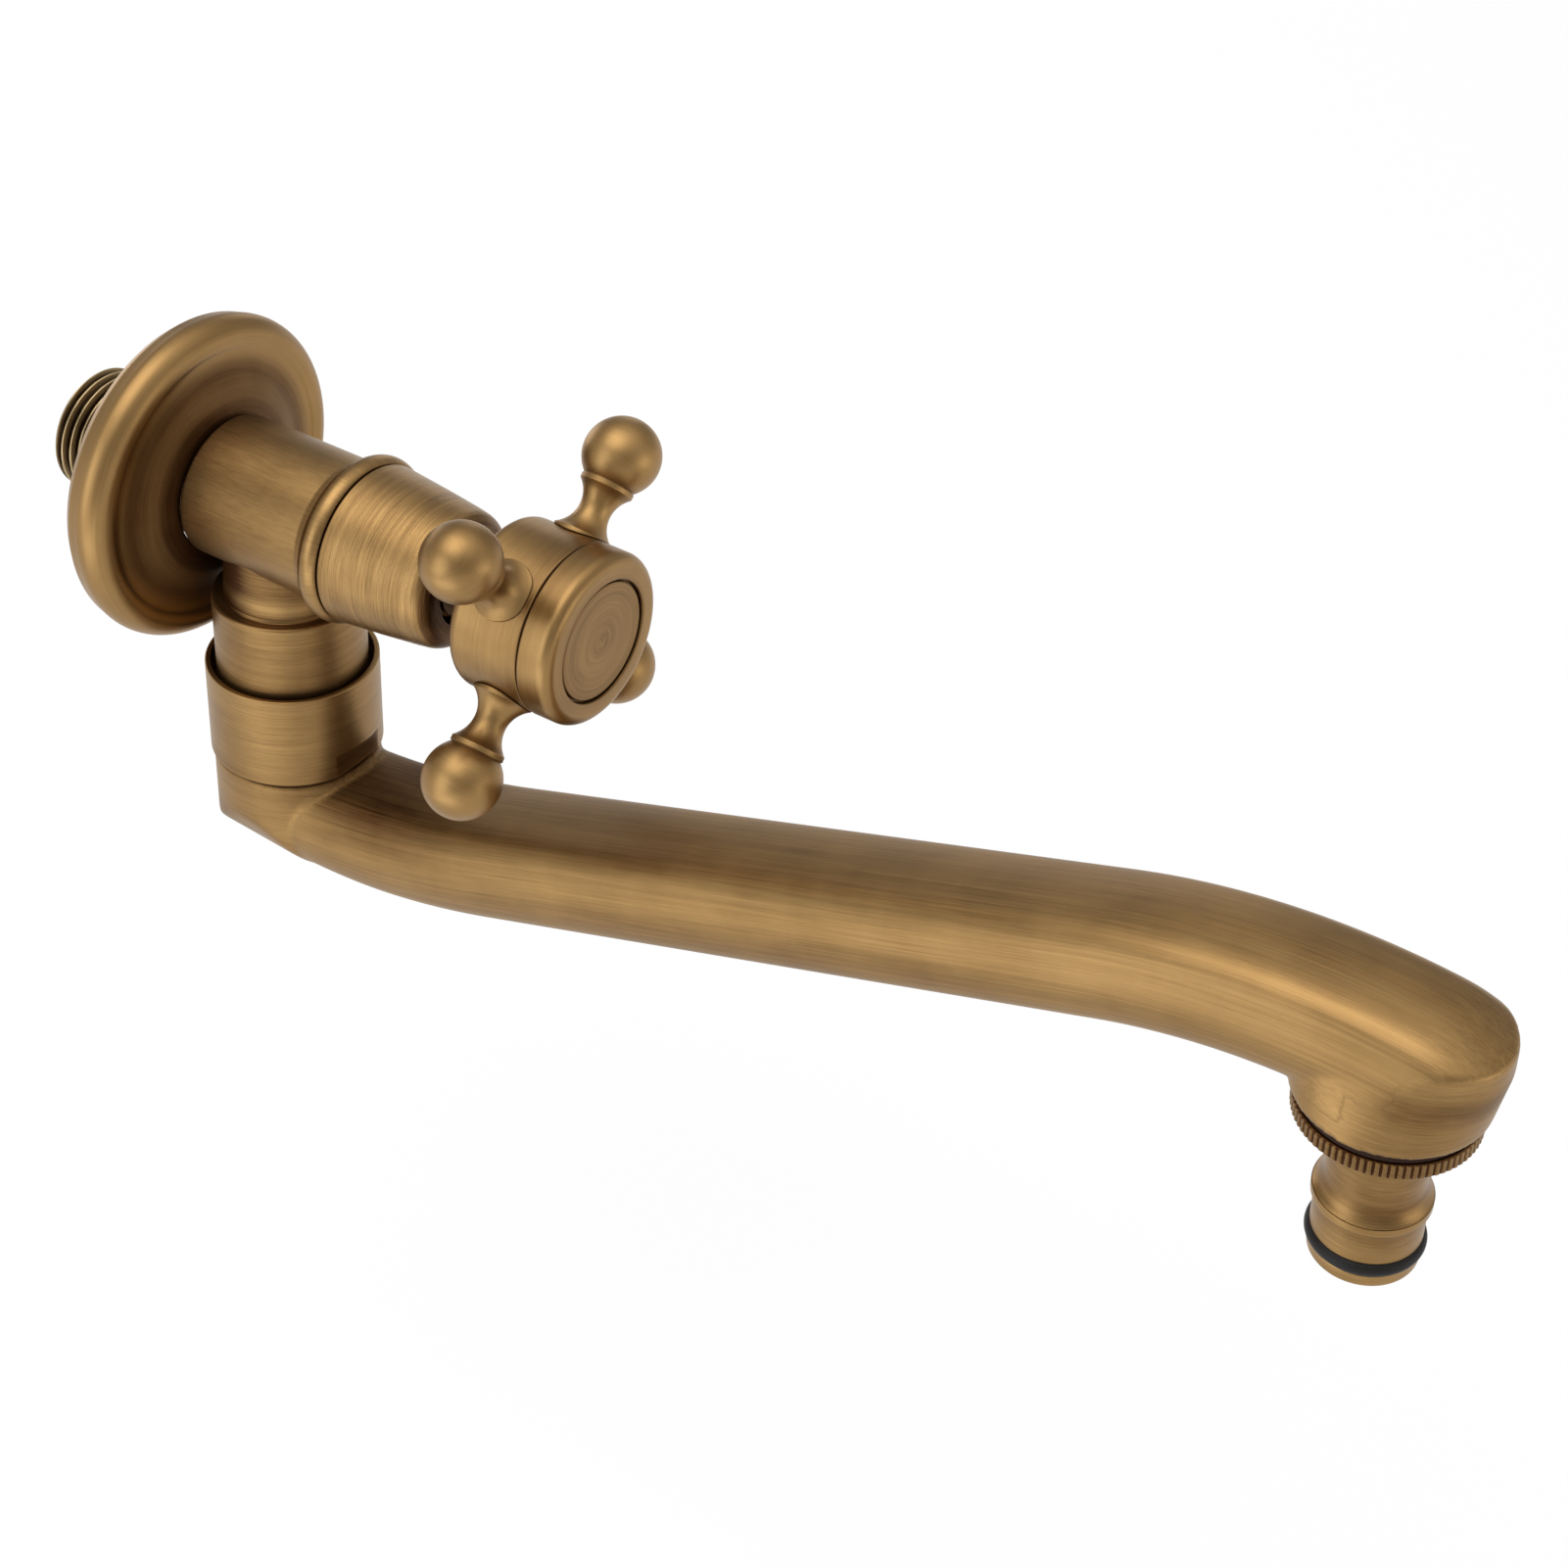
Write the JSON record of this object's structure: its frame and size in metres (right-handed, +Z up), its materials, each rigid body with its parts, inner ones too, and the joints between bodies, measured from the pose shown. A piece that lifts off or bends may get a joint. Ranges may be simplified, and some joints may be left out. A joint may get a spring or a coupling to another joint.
{
  "type": "wall-mounted garden faucet",
  "caption": "Wall-mounted brass garden tap with a round flange, a ball-ended cross handle, a swivelling S-shaped spout and a quick hose connector.",
  "frame": {"origin": "on the tap axis in the plane of the wall, where the inlet thread enters it", "axes": "+Y into the wall along the inlet thread, -Y out of the wall to the handle, +Z up"},
  "size_m": [0.0552, 0.2526, 0.0917],
  "materials": {
    "antique_brass": "brushed antique brass",
    "plain_brass": "machined",
    "steel": "machined",
    "ceramic": "lapped ceramic",
    "slip_plastic": "matte",
    "rubber": "matte black rubber"
  },
  "bodies": {
    "tap": {"inlet_tail": "antique_brass", "tail_o_ring": "rubber", "wall_flange": "antique_brass", "valve_body": "antique_brass", "cartridge_housing": "plain_brass", "housing_o_ring": "rubber", "seat_seal": "rubber", "fixed_disc": "ceramic", "bonnet_cover": "antique_brass", "spout_nut": "antique_brass"},
    "handle": {"moving_disc": "ceramic", "spindle": "plain_brass", "spindle_o_ring": "rubber", "spindle_clip": "steel", "handle_hub": "antique_brass", "handle_arm_1": "antique_brass", "handle_arm_2": "antique_brass", "handle_arm_3": "antique_brass", "handle_arm_4": "antique_brass", "handle_screw": "steel", "cap_ring": "antique_brass", "index_disc": "antique_brass"},
    "spout": {"slip_ring": "slip_plastic", "spout": "antique_brass", "upper_spout_o_ring": "rubber", "lower_spout_o_ring": "rubber", "outlet_washer": "rubber", "hose_connector": "antique_brass", "connector_o_ring": "rubber"}
  },
  "joints": [
    {"name": "handle_turn", "type": "hinge", "parent": "tap", "child": "handle", "pos_m": [0, -0.0737, 0], "axis": [0, -1, 0], "range_deg": [0, 90]},
    {"name": "spout_swivel", "type": "hinge", "parent": "tap", "child": "spout", "pos_m": [0, -0.02154, -0.045], "axis": [0, 0, 1], "range_deg": [-90, 90]}
  ]
}
